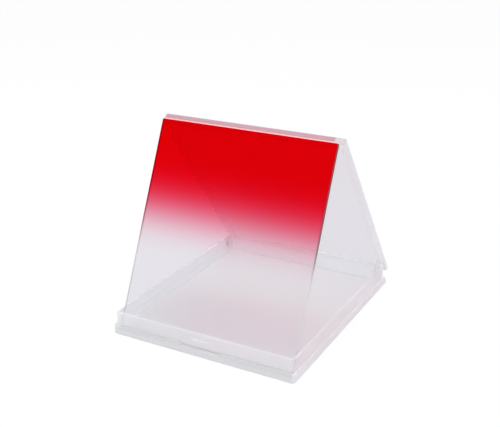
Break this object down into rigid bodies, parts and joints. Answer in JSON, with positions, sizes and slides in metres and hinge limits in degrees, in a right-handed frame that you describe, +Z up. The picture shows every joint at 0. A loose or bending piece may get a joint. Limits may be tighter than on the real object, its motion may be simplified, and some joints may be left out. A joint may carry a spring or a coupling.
{
  "type": "square graduated color filter with hinged case",
  "caption": "Square resin filter, red at the top fading to clear, standing in its opened hinged case of translucent plastic.",
  "frame": {"origin": "middle of the flat underside of the case's base tray, on the surface that it stands on", "axes": "+X to the right when facing the filter's front, +Y from the tray's front wall to the hinge, +Z up"},
  "size_m": [0.0884, 0.1142, 0.0902],
  "materials": {
    "filter_resin": "polished clear resin, dyed red at the top and fading to clear",
    "case_plastic": "moulded translucent plastic with a light frost"
  },
  "bodies": {
    "base": {"case_base": "case_plastic", "color_filter": "filter_resin"},
    "lid": {"case_lid": "case_plastic"}
  },
  "joints": [
    {"name": "lid_hinge", "type": "hinge", "parent": "base", "child": "lid", "pos_m": [0, 0.0466, 0.00614], "axis": [-1, 0, 0], "range_deg": [0, 23]}
  ]
}
